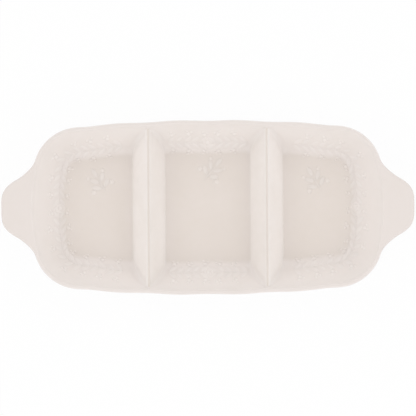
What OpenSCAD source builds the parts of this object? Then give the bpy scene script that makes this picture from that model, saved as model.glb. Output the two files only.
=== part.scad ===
// Relish tray: a long glazed porcelain tray with three wells, two cross partitions
// and a flat tab handle at each end, standing on three foot rings.
// Millimetres. +X runs along the tray, +Y across it, +Z up. The origin is on the table,
// under the middle of the tray.

/* [Body] */
// Length between the outer faces of the rim at the two ends, without the handles
body_len = 330; // [310:1:350]
// Width across the rim at its widest
body_w = 160.2; // [150:0.2:172]
// Height from the table to the top of the rim
body_h = 36; // [32:0.5:42]
// Radius of the shallow bow of each long side
side_arc_r = 1290; // [1000:10:1800]
// Radius of the shallow bow of each end
end_arc_r = 158; // [140:1:190]
// Radius of the four body corners
corner_r = 43; // [38:0.5:48]
// Half the depth of the waves along the long sides
wave_depth = 0.4; // [0:0.05:0.8]
// Length of one wave
wave_pitch = 56; // [44:1:66]

/* [Rim and walls] */
// Thickness of walls and floors
wall_t = 5; // [4:0.1:6]
// Radius of the rounded rim edge
rim_r = 2.7; // [2.4:0.05:3]
// Width of the rim, from its outer edge to where the wall begins
lip_w = 4.7; // [4.2:0.1:5.4]
// How far the rim has fallen at its inner edge
lip_drop = 1.75; // [1.3:0.05:2.1]
// Run of the wall in plan, from the rim to the floor
wall_run = 26.3; // [24:0.1:29]

/* [Partitions] */
// Distance of each partition from the middle of the tray
partition_x = 54.6; // [50:0.2:60]
// How far the crest of a partition lies below the rim
partition_drop = 5; // [4.5:0.1:9]
// Width of a partition at its foot
partition_w = 29.4; // [25:0.2:33]
// Radius of the crest
crest_r = 1.4; // [1:0.1:2.4]
// Height over which a partition blends into the floor
floor_blend = 2.4; // [1:0.1:2.6]
// Height over which a partition blends into the upper walls
wall_blend = 13; // [6:0.5:16]

/* [Handles] */
// How far each handle reaches beyond the rim
handle_reach = 25; // [20:0.5:32]
// Distance from the rim to the handle's shoulders
shoulder_out = 10; // [8:0.5:13]
// Width of the handle across its shoulders
shoulder_w = 54; // [46:0.5:60]
// Slope of the handle's sides at the shoulders, in degrees to the long axis
shoulder_slope = 28; // [20:1:36]
// How far the handle's end lies below the rim
handle_dip = 1; // [0:0.1:2]

/* [Foot rings] */
// Height of the foot rings
foot_h = 3; // [2:0.1:4]
// Width of a foot ring's band
foot_band = 3.6; // [2.5:0.1:5]
// Distance from the edge of a well's flat floor to its foot ring
foot_inset = 1.6; // [0.8:0.1:4]
// Corner radius of a foot ring beside a partition
foot_inner_r = 9; // [6:0.5:14]
// Corner radius of a foot ring at an end of the tray
foot_outer_r = 14; // [9:0.5:20]

/* [Hidden] */

glaze = "#f1e8e3";
glaze_shade = "#ece2dc";
bare_clay = "#ded5c8";

half_l = body_len / 2;
half_w = body_w / 2;
floor_z = foot_h + wall_t;
lip_z = body_h - lip_drop;
crest_z = body_h - partition_drop;
foot_line = partition_w / 2;
floor_d = lip_w + wall_run;

// Side walls leave the rim at this slope, which the rim's own curve reaches at its inner edge
rim_roll = lip_w - rim_r;
start_slope = 2 * lip_drop / rim_roll;

// The corner circle lies inside the arcs of the side and the end and touches both
side_centre = [0, half_w - side_arc_r];
end_centre = [half_l - end_arc_r, 0];
side_gap = side_arc_r - corner_r;
end_gap = end_arc_r - corner_r;
centre_gap = norm(end_centre - side_centre);
along = (end_centre - side_centre) / centre_gap;
along_len = (side_gap * side_gap - end_gap * end_gap + centre_gap * centre_gap) / (2 * centre_gap);
across_len = sqrt(side_gap * side_gap - along_len * along_len);
corner_centre = side_centre + along_len * along + across_len * [along[1], -along[0]];
side_lean = atan2(corner_centre[0] - side_centre[0], corner_centre[1] - side_centre[1]);
end_lean = atan2(corner_centre[1] - end_centre[1], corner_centre[0] - end_centre[0]);
corner_x = side_arc_r * sin(side_lean);

// A partition's face is the line from its foot that touches the round crest
crest_gap = crest_z - crest_r - floor_z;
face_angle = atan2(crest_gap, foot_line) + asin(crest_r / norm([foot_line, crest_gap]));
crest_edge = crest_r * sin(face_angle);
crest_edge_z = crest_z - crest_r + crest_r * cos(face_angle);
partition_t = wall_t / cos(face_angle);

// The waves die down over this share of the corner's radius
calm_share = 0.25;

// Brings the greatest value of q * (1 - q) * (1 - q) to 1
blend_peak = 6.75;

// Shares of the steps between stations and rows
near_reach = 1.5 * foot_line;
near_shares = [0, 0.07, 0.18, 0.42, 1];
wall_shares = [0, 0.05, 0.13, 0.26, 0.42, 0.58, 0.74, 0.88, 1];
ridge_shares = [0, 0.05, 0.1, 0.34, 0.62, 0.84, 1];
middle_steps = 4;
side_steps = 5;
corner_steps = 8;
end_steps = 6;
floor_steps = 6;
crown_steps = 3;
nose_steps = 6;
tab_steps = 4;
find_turns = 30;

function clamp_share(v) = min(max(v, 0), 1);
function ease(v) = v * v * (3 - 2 * v);
function mix(p, q, share) = p + (q - p) * share;
function turned(angle) = [cos(angle), sin(angle)];
function mirrored_y(p) = [p[0], -p[1]];
function blend(p, q, reach) =
    let (share = max(reach - abs(p - q), 0) / reach)
    max(p, q) + share * share * reach / 4;

// Outline of the body, by stations, each a point on the outline and the outward direction there.
// The waves of the long sides die down shortly before the corners.
function calm(x) = ease(clamp_share((corner_x - x) / (calm_share * corner_r)));
function wave(x) = wave_depth * cos(360 * x / wave_pitch) * calm(x);
function side_y(x) = side_centre[1] + sqrt(side_arc_r * side_arc_r - x * x) - wave(x);
function side_station(x) =
    let (start = partition_x + near_reach)
    let (share = clamp_share((x - start) / (corner_x - start)))
    [[x, side_y(x)], turned(90 - side_lean * share)];
function corner_station(angle) = [corner_centre + corner_r * turned(angle), turned(angle)];
function end_station(angle) = [end_centre + end_arc_r * turned(angle), turned(angle)];
function inward(station, d) = station[0] - d * station[1];

// Stations past a partition: along the side, round the corner and along half the end
far_stations = concat(
    [for (i = [1 : side_steps])
        side_station(mix(partition_x + near_reach, corner_x, i / side_steps))],
    [for (i = [1 : corner_steps]) corner_station(mix(90 - side_lean, end_lean, i / corner_steps))],
    [for (i = [1 : end_steps]) end_station(mix(end_lean, 0, i / end_steps))]);

// Height of the wall and the floor at distance d inward from the outline, and the wall's slope
function wall_share(d) = clamp_share((d - lip_w) / wall_run);
function wall_z(d) =
    let (q = wall_share(d))
    mix(lip_z, floor_z, ease(q)) - start_slope * wall_run * q * (1 - q) * (1 - q);
function wall_slope(d) =
    let (q = wall_share(d))
    (floor_z - lip_z) / wall_run * 6 * q * (1 - q) - start_slope * (1 - q) * (1 - 3 * q);
function wall_under(d) = wall_z(d) - wall_t * norm([1, wall_slope(d)]);

// Height of a partition at distance a from its crest line
function ridge_z(a) =
    a < crest_edge
        ? crest_z - crest_r + sqrt(crest_r * crest_r - a * a)
        : crest_edge_z - (a - crest_edge) * tan(face_angle);

// The blend grows from the floor up the wall and is gone again at the rim. The share is 1
// where it is greatest, a third of the way down.
function blend_share(q) = blend_peak * q * (1 - q) * (1 - q);
function blend_reach(d) = mix(floor_blend, wall_blend, blend_share(wall_share(d)));

// Upper and lower surface of the shell
function ridge_a(x) = abs(abs(x) - partition_x);
function top_z(x, d) = blend(wall_z(d), ridge_z(ridge_a(x)), blend_reach(d));
function under_z(x, d) = blend(wall_under(d), ridge_z(ridge_a(x)) - partition_t, blend_reach(d));

// Where the wall is as low as the crest, the partition's end dies into it
function find_d(z, low, high, turns) =
    let (d = (low + high) / 2)
    turns == 0 ? d : wall_z(d) > z ? find_d(z, d, high, turns - 1) : find_d(z, low, d, turns - 1);
crest_d = find_d(crest_z, lip_w, floor_d, find_turns);

// Half the width of a partition where it meets the wall at distance d
function foot_a(d) =
    let (z = wall_z(d))
    let (fall = crest_z - z)
    d <= crest_d ? 0
        : z > crest_edge_z ? sqrt(max(crest_r * crest_r - (crest_r - fall) * (crest_r - fall), 0))
        : crest_edge + (crest_edge_z - z) / tan(face_angle);

// Rows run from the rim down the wall, over the floor and up the other wall
ridge_rows = [for (share = wall_shares) mix(crest_d, floor_d, share)];
well_rows = concat([lip_w, (lip_w + crest_d) / 2], ridge_rows);
floor_rows = [for (i = [1 : floor_steps - 1]) 1 - 2 * i / floor_steps];

// A point at x and distance d inward from the side
function side_point(x, d) = [x, side_y(x) - d];

// The points of one column, from one rim to the other, as [x, y, d]
function whole_column(rows, wall_points) =
    let (foot = wall_points[len(rows) - 1])
    concat(
        [for (i = [0 : len(rows) - 1]) [wall_points[i][0], wall_points[i][1], rows[i]]],
        [for (share = floor_rows) [foot[0], foot[1] * share, floor_d]],
        [for (i = [len(rows) - 1 : -1 : 0]) [wall_points[i][0], -wall_points[i][1], rows[i]]]);

// A column beside a partition: sign +1 lies on the far side of it and -1 on the near side
function near_column(sign, share) = whole_column(well_rows,
    [for (d = well_rows)
        side_point(partition_x + sign * mix(foot_a(d), near_reach, share), d)]);
function far_column(station) = whole_column(well_rows, [for (d = well_rows) inward(station, d)]);
function ridge_column(share) = whole_column(ridge_rows,
    [for (d = ridge_rows) side_point(partition_x + share * foot_a(d), d)]);
function flipped(column) = [for (p = column) [-p[0], p[1], p[2]]];

// A closed shell between the upper and the lower surface, over a grid of columns.
// The index function says which vertex stands for a place in the grid, so that places
// that fall together share one vertex, and faces without area are left out.
// A folded grid has no edge along its last column.
module shell_over(columns, index, folded = false) {
    last_i = len(columns) - 1;
    last_j = len(columns[0]) - 1;
    count = (last_i + 1) * (last_j + 1);
    points = concat(
        [for (column = columns) for (p = column) [p[0], p[1], top_z(p[0], p[2])]],
        [for (column = columns) for (p = column) [p[0], p[1], under_z(p[0], p[2])]]);
    edge = concat(
        [for (i = [0 : last_i - 1]) index(i, 0)],
        folded ? [] : [for (j = [0 : last_j - 1]) index(last_i, j)],
        [for (i = [last_i : -1 : 1]) index(i, last_j)],
        [for (j = [last_j : -1 : 1]) index(0, j)]);
    upper = [for (i = [0 : last_i - 1]) for (j = [0 : last_j - 1])
        [index(i, j), index(i + 1, j), index(i + 1, j + 1), index(i, j + 1)]];
    quads = concat(
        upper,
        [for (q = upper) [for (k = [3 : -1 : 0]) q[k] + count]],
        [for (k = [0 : len(edge) - 1])
            let (m = (k + 1) % len(edge))
            [edge[k], edge[k] + count, edge[m] + count, edge[m]]]);
    solid_of(points, quads);
}

// Splits quads into triangles and leaves out those without area
module solid_of(points, quads) {
    triangles = concat([for (q = quads) [q[0], q[1], q[2]]], [for (q = quads) [q[0], q[2], q[3]]]);
    kept = [for (t = triangles) if (t[0] != t[1] && t[1] != t[2] && t[2] != t[0]) t];
    polyhedron(points, kept, 10);
}

module end_well() {
    columns = concat(
        [for (share = near_shares) near_column(1, share)],
        [for (station = far_stations) far_column(station)]);
    last_i = len(columns) - 1;
    last_j = len(columns[0]) - 1;
    foot_j = len(well_rows) - 1;
    // The last column runs in along the middle of the end wall and back over itself
    index = function (i, j) i * (last_j + 1) + (i < last_i ? j : min(j, last_j - j, foot_j));
    shell_over(columns, index, true);
}

module centre_well() {
    right = [for (share = near_shares) near_column(-1, share)];
    middle_x = partition_x - near_reach;
    middle = [for (i = [1 : middle_steps * 2 - 1])
        let (x = mix(-middle_x, middle_x, i / (middle_steps * 2)))
        whole_column(well_rows, [for (d = well_rows) side_point(x, d)])];
    columns = concat(
        [for (column = right) flipped(column)],
        middle,
        [for (i = [len(right) - 1 : -1 : 0]) right[i]]);
    index = function (i, j) i * len(columns[0]) + j;
    color(glaze_shade)
    shell_over(columns, index);
}

module left_well() {
    color(glaze_shade)
    mirror([1, 0, 0])
    end_well();
}

module right_well() {
    color(glaze_shade)
    end_well();
}

// A hollow ridge, open below as a groove, with both ends run out to a point on the walls
module partition() {
    last_share = len(ridge_shares) - 1;
    shares = concat([for (i = [last_share : -1 : 1]) -ridge_shares[i]], ridge_shares);
    columns = [for (share = shares) ridge_column(share)];
    last_j = len(columns[0]) - 1;
    index = function (i, j) (j == 0 || j == last_j ? 0 : i) * (last_j + 1) + j;
    color(glaze)
    shell_over(columns, index);
}

module left_partition() {
    mirror([1, 0, 0])
    partition();
}

module right_partition() {
    partition();
}

// Outline of the rim's rounded edge at a station, from its top round to its underside
function nose(station, drop) = [for (k = [0 : nose_steps])
    let (angle = 90 - 180 * k / nose_steps)
    let (p = inward(station, rim_r - rim_r * cos(angle)))
    [p[0], p[1], body_h - rim_r - drop + rim_r * sin(angle)]];

// A rounded band all round the body. Its flat inner face meets the wells.
module rim() {
    near = [for (share = near_shares) near_reach * share];
    quarter = concat(
        [for (i = [0 : middle_steps - 1])
            side_station((partition_x - near_reach) * i / middle_steps)],
        [for (i = [len(near) - 1 : -1 : 1]) side_station(partition_x - near[i])],
        [for (a = near) side_station(partition_x + a)],
        far_stations);
    steps = len(quarter) - 1;
    half = concat(
        quarter,
        [for (i = [steps - 1 : -1 : 1]) [mirrored_y(quarter[i][0]), mirrored_y(quarter[i][1])]]);
    stations = concat(
        half,
        [for (i = [0 : steps * 2 - 1])
            let (s = i == 0 ? quarter[0] : half[i])
            [-s[0], -s[1]]]);
    sections = [for (station = stations)
        let (lip = inward(station, lip_w))
        concat(
            [for (k = [crown_steps : -1 : 1])
                let (q = k / crown_steps)
                let (p = inward(station, rim_r + rim_roll * q))
                [p[0], p[1], body_h - lip_drop * q * q]],
            nose(station, 0),
            [[lip[0], lip[1], wall_under(lip_w)]])];
    ring = len(sections[0]);
    points = [for (section = sections) for (p = section) p];
    quads = [for (i = [0 : len(sections) - 1]) for (k = [0 : ring - 1])
        let (n = (i + 1) % len(sections))
        let (m = (k + 1) % ring)
        [i * ring + k, i * ring + m, n * ring + m, n * ring + k]];
    color(glaze)
    solid_of(points, quads);
}

// Outline of a handle, as two curves from the body's corner by the shoulder to the end
root = end_station(end_lean);
shoulder = [half_l + shoulder_out, shoulder_w / 2];
tip = [half_l + handle_reach, 0];
shoulder_dir = turned(-shoulder_slope);
root_dir = turned(end_lean - 90);
pull_shares = [0.29, 0.13, 0.59, 0.35];
flare = let (chord = norm(shoulder - root[0]))
    [root[0], root[0] + pull_shares[0] * chord * root_dir,
        shoulder - pull_shares[1] * chord * shoulder_dir, shoulder];
round_end = let (chord = norm(tip - shoulder))
    [shoulder, shoulder + pull_shares[2] * chord * shoulder_dir,
        tip + pull_shares[3] * chord * [0, 1], tip];
function curve_point(c, t) =
    let (s = 1 - t)
    s * s * s * c[0] + 3 * s * s * t * c[1] + 3 * s * t * t * c[2] + t * t * t * c[3];
function curve_dir(c, t) =
    let (s = 1 - t)
    s * s * (c[1] - c[0]) + 2 * s * t * (c[2] - c[1]) + t * t * (c[3] - c[2]);
function curve_station(c, t) =
    let (v = curve_dir(c, t))
    [curve_point(c, t), [-v[1], v[0]] / norm(v)];

// A flat tab luted to the rim. Its root is hollowed to the rim's rounded edge, and its sides
// run out to a point where they leave the rim.
module handle() {
    half_steps = end_steps;
    // The stations on the rim are the rim's own
    rim_side = [for (i = [0 : half_steps]) end_station(mix(end_lean, 0, i / end_steps))];
    out_side = [for (i = [0 : half_steps])
        let (t = 2 * i / half_steps)
        t <= 1 ? curve_station(flare, t) : curve_station(round_end, t - 1)];
    both = function (list) concat(list,
        [for (i = [half_steps - 1 : -1 : 0]) [mirrored_y(list[i][0]), mirrored_y(list[i][1])]]);
    inner = both(rim_side);
    outer = both(out_side);
    last = len(inner) - 1;
    sections = [for (i = [0 : last])
        let (drop = handle_dip * norm(outer[i][0] - inner[i][0]) / handle_reach)
        let (edge = nose(outer[i], drop))
        let (seat = nose(inner[i], 0))
        let (foot = seat[nose_steps])
        concat(
            [for (k = [1 : tab_steps - 1])
                let (q = k / tab_steps)
                let (p = mix(seat[0], edge[0], q))
                [p[0], p[1], body_h - drop * ease(q)]],
            edge,
            [for (k = [tab_steps - 1 : -1 : 1])
                let (q = k / tab_steps)
                let (p = mix(foot, edge[nose_steps], q))
                [p[0], p[1], foot[2] - drop * ease(q)]],
            [for (k = [nose_steps : -1 : 0]) seat[k]])];
    ring = len(sections[0]);
    edge_k = tab_steps - 1;
    seat_k = ring - 1 - nose_steps;
    // At both ends every vertex falls on the seat
    seated = function (k)
        k < edge_k ? ring - 1
            : k <= edge_k + nose_steps ? ring - 1 - (k - edge_k)
            : k < seat_k ? seat_k : k;
    index = function (i, k) i * ring + (i == 0 || i == last ? seated(k) : k);
    points = [for (section = sections) for (p = section) p];
    quads = [for (i = [0 : last - 1]) for (k = [0 : ring - 1])
        let (m = (k + 1) % ring)
        [index(i, k), index(i, m), index(i + 1, m), index(i + 1, k)]];
    color(glaze)
    solid_of(points, quads);
}

module left_handle() {
    mirror([1, 0, 0])
    handle();
}

module right_handle() {
    handle();
}

// A plate with one corner radius at its low-x end and another at its high-x end
module foot_plate(x0, x1, y1, r0, r1) {
    r_big = max(r0, r1);
    translate([x0, r0 - y1])
    square([r_big, 2 * (y1 - r0)]);
    translate([x1 - r_big, r1 - y1])
    square([r_big, 2 * (y1 - r1)]);
    translate([x0 + r0, -y1])
    square([x1 - x0 - r0 - r1, 2 * y1]);
    for (side = [-1, 1]) {
        translate([x0 + r0, side * (y1 - r0)])
        circle(r0, $fn = 48);
        translate([x1 - r1, side * (y1 - r1)])
        circle(r1, $fn = 48);
    }
}

module foot_ring(x0, x1, y1, r0, r1) {
    color(bare_clay)
    linear_extrude(foot_h)
    difference() {
        foot_plate(x0, x1, y1, r0, r1);
        foot_plate(x0 + foot_band, x1 - foot_band, y1 - foot_band, r0 - foot_band, r1 - foot_band);
    }
}

module end_foot_ring() {
    x0 = partition_x + foot_line + foot_inset;
    x1 = half_l - floor_d - foot_inset;
    y1 = side_y(x1 - foot_outer_r) - floor_d - foot_inset;
    foot_ring(x0, x1, y1, foot_inner_r, foot_outer_r);
}

module left_foot_ring() {
    mirror([1, 0, 0])
    end_foot_ring();
}

module right_foot_ring() {
    end_foot_ring();
}

module centre_foot_ring() {
    x1 = partition_x - foot_line - foot_inset;
    y1 = side_y(x1) - floor_d - foot_inset;
    foot_ring(-x1, x1, y1, foot_inner_r, foot_inner_r);
}

left_well();
centre_well();
right_well();
left_partition();
right_partition();
rim();
left_handle();
right_handle();
left_foot_ring();
centre_foot_ring();
right_foot_ring();
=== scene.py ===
# %% [markdown]
# # A relish tray in glazed porcelain
# The real tray is one slip casting: three wells, two cross partitions, a rounded rim, a flat
# tab handle at each end and three ground foot rings. The solid model has a node for each of
# these regions. This lesson gives each one a fine skin, a fired glaze and raised garlands.
# Every length is in metres, in the solid model's own frame.

# %% Load the solid model
import math
from functools import partialmethod
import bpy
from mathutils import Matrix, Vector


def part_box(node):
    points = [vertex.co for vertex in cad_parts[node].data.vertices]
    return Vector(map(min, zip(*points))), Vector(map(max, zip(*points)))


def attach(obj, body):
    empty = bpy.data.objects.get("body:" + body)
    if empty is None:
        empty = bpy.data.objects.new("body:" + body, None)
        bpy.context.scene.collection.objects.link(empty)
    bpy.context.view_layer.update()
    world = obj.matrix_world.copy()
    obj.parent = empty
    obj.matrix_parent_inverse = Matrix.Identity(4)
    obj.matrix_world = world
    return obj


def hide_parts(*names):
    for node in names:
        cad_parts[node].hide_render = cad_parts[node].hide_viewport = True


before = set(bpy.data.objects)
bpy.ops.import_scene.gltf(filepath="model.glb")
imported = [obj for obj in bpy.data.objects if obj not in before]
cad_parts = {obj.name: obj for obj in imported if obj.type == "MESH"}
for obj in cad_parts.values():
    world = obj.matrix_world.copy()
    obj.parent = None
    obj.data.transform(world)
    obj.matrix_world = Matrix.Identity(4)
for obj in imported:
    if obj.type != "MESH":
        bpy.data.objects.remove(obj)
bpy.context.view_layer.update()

from types import SimpleNamespace

import bpy
import numpy as np

scene = bpy.context.scene
print("nodes:", ", ".join(sorted(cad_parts)))

# %% [markdown]
# ## Driving sizes
# Most of the tray's sizes can be read from the boxes of its nodes, so the skin follows the
# solids if they change. The few that no box shows, such as radii, are written down once here.

# %% Read the sizes from the frame
mm = 0.001
rim_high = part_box("rim")[1]
ridge_low, ridge_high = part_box("right_partition")
handle_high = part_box("right_handle")[1]
foot_low, foot_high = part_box("right_foot_ring")
middle_foot_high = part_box("centre_foot_ring")[1]

half_l, half_w = rim_high[0], 80.1 * mm
side_arc_r, end_arc_r, corner_r = 1290 * mm, 158 * mm, 43 * mm
wave_depth, wave_pitch = 0.4 * mm, 56 * mm
foot_line = (ridge_high[0] - ridge_low[0]) / 2
handle_reach, handle_dip = handle_high[0] - half_l, 1 * mm
shoulder_out, shoulder_half, shoulder_slope = 10 * mm, 27 * mm, math.radians(28)
wall_t = 5 * mm
sizes = dict(
    rim_z=rim_high[2], rim_r=2.7 * mm, lip_w=4.7 * mm, lip_drop=1.75 * mm,
    wall_run=26.3 * mm, wall_t=wall_t, floor_z=foot_high[2] + wall_t,
    partition_x=(ridge_low[0] + ridge_high[0]) / 2, crest_z=ridge_high[2], crest_r=1.4 * mm,
    floor_blend=2.4 * mm, wall_blend=13 * mm)
ridge_rise = sizes["crest_z"] - sizes["crest_r"] - sizes["floor_z"]
sizes["face_slope"] = math.tan(
    math.atan2(ridge_rise, foot_line)
    + math.asin(sizes["crest_r"] / math.hypot(foot_line, ridge_rise)))
for label, value in sizes.items():
    print(f"{label:12} {value:.5f}")

# %% [markdown]
# ## One rule for the surface
# The height of the tray's surface follows from two distances: how far a point lies inward
# from the outline, and how far from the crest of a partition. The rule is needed twice, once
# as plain numbers to lay out the grids, and once as nodes to raise them. So it is written
# once, in a form that takes either. A Wire is a number that flows through a node tree, and
# sums on it add Math nodes.


# %% A number that flows through a node tree
class Wire:
    def __init__(self, tree, socket):
        self.tree, self.socket = tree, socket

    def then(self, operation, *others):
        """Adds a Math node that takes this number first"""
        node = self.tree.nodes.new("ShaderNodeMath")
        node.operation = operation
        for place, value in zip(node.inputs, (self, *others)):
            plug(self.tree, place, value)
        return Wire(self.tree, node.outputs[0])

    __add__ = __radd__ = partialmethod(then, "ADD")
    __sub__ = partialmethod(then, "SUBTRACT")
    __rsub__ = partialmethod(then, "MULTIPLY_ADD", -1)
    __mul__ = __rmul__ = partialmethod(then, "MULTIPLY")
    __truediv__ = partialmethod(then, "DIVIDE")
    __abs__ = partialmethod(then, "ABSOLUTE")


def plug(tree, place, value):
    """Links a wire or a socket to an input, or sets the input to a plain value"""
    if isinstance(value, Wire):
        value = value.socket
    if isinstance(value, bpy.types.NodeSocket):
        tree.links.new(value, place)
    else:
        place.default_value = value


def either(operation, plain):
    """A function that takes a wire or a plain number"""
    return lambda p, *others: (p.then(operation, *others) if isinstance(p, Wire)
                               else plain(p, *others))


larger, smaller = either("MAXIMUM", np.maximum), either("MINIMUM", np.minimum)
root = either("SQRT", np.sqrt)
below = either("LESS_THAN", lambda p, q: np.where(p < q, 1.0, 0.0))  # 1 if so, and else 0


def clamp(p):
    return smaller(larger(p, 0), 1)


def mix(p, q, share):
    return p + (q - p) * share


def ease(q):
    return q * q * (3 - 2 * q)


# %% The rule for the wall and the rim
def wall_share(d, s):
    return clamp((d - s.lip_w) / s.wall_run)


def start_slope(s):
    return s.lip_drop * 2 / (s.lip_w - s.rim_r)


def wall_height(d, s):
    """Height of the wall and the floor at distance d inward from the outline"""
    q = wall_share(d, s)
    lip_z = s.rim_z - s.lip_drop
    return mix(lip_z, s.floor_z, ease(q)) - start_slope(s) * s.wall_run * q * (1 - q) * (1 - q)


def wall_under(d, s):
    q = wall_share(d, s)
    slope = ((s.floor_z - s.rim_z + s.lip_drop) / s.wall_run * 6 * q * (1 - q)
             - start_slope(s) * (1 - q) * (1 - 3 * q))
    return wall_height(d, s) - s.wall_t * root(slope * slope + 1)


def nose_rise(d, s):
    """How far the rim's rounded edge stands above or below its own middle"""
    back = s.rim_r - smaller(d, s.rim_r)
    return root(larger(s.rim_r * s.rim_r - back * back, 0))


def crown_share(d, s):
    return clamp((d - s.rim_r) / (s.lip_w - s.rim_r))


def top_profile(d, s):
    """The rim's rounded edge, its crown, and then the wall"""
    crown = crown_share(d, s)
    rim = s.rim_z - s.rim_r + nose_rise(d, s) - s.lip_drop * crown * crown
    return mix(wall_height(d, s), rim, below(d, s.lip_w))


def under_profile(d, s):
    nose = s.rim_z - s.rim_r - nose_rise(d, s)
    return mix(nose, wall_under(larger(d, s.lip_w), s), crown_share(d, s))


# %% The rule for a partition, and for the fillets round it
def ridge_height(a, s):
    """Height of a partition at distance a from its crest line"""
    stretch = root(s.face_slope * s.face_slope + 1)
    edge = s.crest_r * s.face_slope / stretch
    edge_z = s.crest_z - s.crest_r + s.crest_r / stretch
    cap = s.crest_z - s.crest_r + root(larger(s.crest_r * s.crest_r - a * a, 0))
    return mix(edge_z - (a - edge) * s.face_slope, cap, below(a, edge))


blend_peak = 6.75  # brings the greatest value of q * (1 - q) * (1 - q) to 1


def blend_reach(d, s):
    """Height over which a partition and a wall blend, largest on the upper wall"""
    q = wall_share(d, s)
    return mix(s.floor_blend, s.wall_blend, q * (1 - q) * (1 - q) * blend_peak)


def blend(p, q, reach):
    """The larger of two heights, with a soft fillet where they meet"""
    share = larger(reach - abs(p - q), 0) / reach
    return larger(p, q) + share * share * reach / 4


tray = SimpleNamespace(**sizes)
floor_d = tray.lip_w + tray.wall_run
for depth in (tray.lip_w, (tray.lip_w + floor_d) / 2, floor_d):
    print(f"wall height {depth / mm:.1f} mm in: {wall_height(depth, tray) / mm:.2f} mm")

# %% [markdown]
# ## The outline
# Seen from above, the body is four long arcs joined by four round corners, and its long
# sides carry a slight wave. The outline is laid out as stations: a point, and the direction
# that faces outward there. Every piece of the body uses the same stations, so the pieces
# meet point on point and no seam shows in the glaze.

# %% Where the arcs meet
side_centre = np.array([0, half_w - side_arc_r])
end_centre = np.array([half_l - end_arc_r, 0])
side_gap, end_gap = side_arc_r - corner_r, end_arc_r - corner_r
centre_gap = np.linalg.norm(end_centre - side_centre)
along = (end_centre - side_centre) / centre_gap
along_len = (side_gap ** 2 - end_gap ** 2 + centre_gap ** 2) / (2 * centre_gap)
across_len = math.sqrt(side_gap ** 2 - along_len ** 2)
corner_centre = side_centre + along_len * along + across_len * np.array([along[1], -along[0]])
side_lean = math.atan2(*(corner_centre - side_centre))
end_lean = math.atan2(corner_centre[1], corner_centre[0] - end_centre[0])
corner_x = side_arc_r * math.sin(side_lean)
print("a corner's centre:", corner_centre.round(4))

# %% Stations along a quarter of the outline
calm_run = corner_r / 4
near_reach = 1.5 * foot_line
side_steps, corner_steps, end_steps = 18, 24, 24


def turned(angle):
    return np.array([math.cos(angle), math.sin(angle)])


def side_y(x):
    calm = ease(clamp((corner_x - x) / calm_run))
    wave = wave_depth * np.cos(2 * math.pi * x / wave_pitch) * calm
    return side_centre[1] + np.sqrt(side_arc_r ** 2 - x * x) - wave


def side_point(x, d):
    return x, side_y(x) - d


def side_station(x):
    start = tray.partition_x + near_reach
    lean = side_lean * clamp((x - start) / (corner_x - start))
    return np.array([x, side_y(x)]), turned(math.pi / 2 - lean)


def corner_station(angle):
    return corner_centre + corner_r * turned(angle), turned(angle)


def end_station(angle):
    return end_centre + end_arc_r * turned(angle), turned(angle)


def inward(station, d):
    return station[0] - d * station[1]


def steps(start, end, count):
    """Values from start to end, without the start"""
    return [start + (end - start) * i / count for i in range(1, count + 1)]


far_stations = (
    [side_station(x) for x in steps(tray.partition_x + near_reach, corner_x, side_steps)]
    + [corner_station(t) for t in steps(math.pi / 2 - side_lean, end_lean, corner_steps)]
    + [end_station(t) for t in steps(end_lean, 0, end_steps)])
print("stations past a partition:", len(far_stations))

# %% [markdown]
# ## Grids for the wells and the partitions
# A well is a sheet of columns, each of which runs from one long side of the rim down the
# wall, over the floor and up the other wall. A partition is a narrow sheet between two
# wells. Each grid point holds its place in the plan and its distance inward, and the grid is
# doubled into an upper and a lower skin. Both lie flat for now.

# %% Rows from the rim to the floor
lip_steps, row_steps, floor_steps = 3, 30, 20
row_crowding = 1.2  # above 1, the rows stand closer at the upper end
halvings = 40


def halved(low, high, before):
    """Halves a span until it closes on the place where a condition ends"""
    for _ in range(halvings):
        place = (low + high) / 2
        low, high = (place, high) if before(place) else (low, place)
    return place


crest_d = halved(tray.lip_w, floor_d, lambda d: wall_height(d, tray) > tray.crest_z)
ridge_rows = [mix(crest_d, floor_d, (i / row_steps) ** row_crowding)
              for i in range(row_steps + 1)]
well_rows = [mix(tray.lip_w, crest_d, i / lip_steps) for i in range(lip_steps)] + ridge_rows
floor_shares = [1 - i / floor_steps for i in range(1, 2 * floor_steps)]


def foot_a(d):
    """Half the width of a partition where it meets the wall at distance d"""
    wall = wall_height(d, tray)
    return 0 if d <= crest_d else halved(0, near_reach, lambda a: ridge_height(a, tray) > wall)


foot_widths = {d: foot_a(d) for d in ridge_rows + well_rows}
print(f"a partition's end dies into the wall {crest_d / mm:.2f} mm in")


# %% Columns across the tray
def whole_column(rows, wall_points):
    foot = wall_points[-1]
    return ([(*p, d) for p, d in zip(wall_points, rows)]
            + [(foot[0], foot[1] * share, floor_d) for share in floor_shares]
            + [(p[0], -p[1], d) for p, d in zip(wall_points[::-1], rows[::-1])])


def side_column(rows, x_at):
    """A column whose place along the tray may differ from row to row"""
    return whole_column(rows, [side_point(x_at(d), d) for d in rows])


def near_column(sign, share):
    """A column beside a partition, on its far side (sign 1) or its near side (sign -1)"""
    return side_column(well_rows, lambda d: (
        tray.partition_x + sign * mix(foot_widths[d], near_reach, share)))


def ridge_column(share):
    return side_column(ridge_rows, lambda d: tray.partition_x + share * foot_widths[d])


def far_column(station):
    return whole_column(well_rows, [tuple(inward(station, d)) for d in well_rows])


# %% Meshes, and the numbers that they carry
def read(data, label, width, kind=np.float32):
    values = np.empty(len(data) * width, kind)
    data.foreach_get(label, values)
    return values.reshape(-1, width) if width > 1 else values


def carry(mesh, label, values, domain="POINT", kind="FLOAT"):
    layer = mesh.attributes.new(label, kind, domain)
    layer.data.foreach_set("value" if kind == "FLOAT" else "vector",
                           np.asarray(values, np.float32).reshape(-1))


def new_mesh(name, points, edges, faces):
    mesh = bpy.data.meshes.new(name)
    mesh.from_pydata(points, edges, faces)
    return mesh


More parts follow.
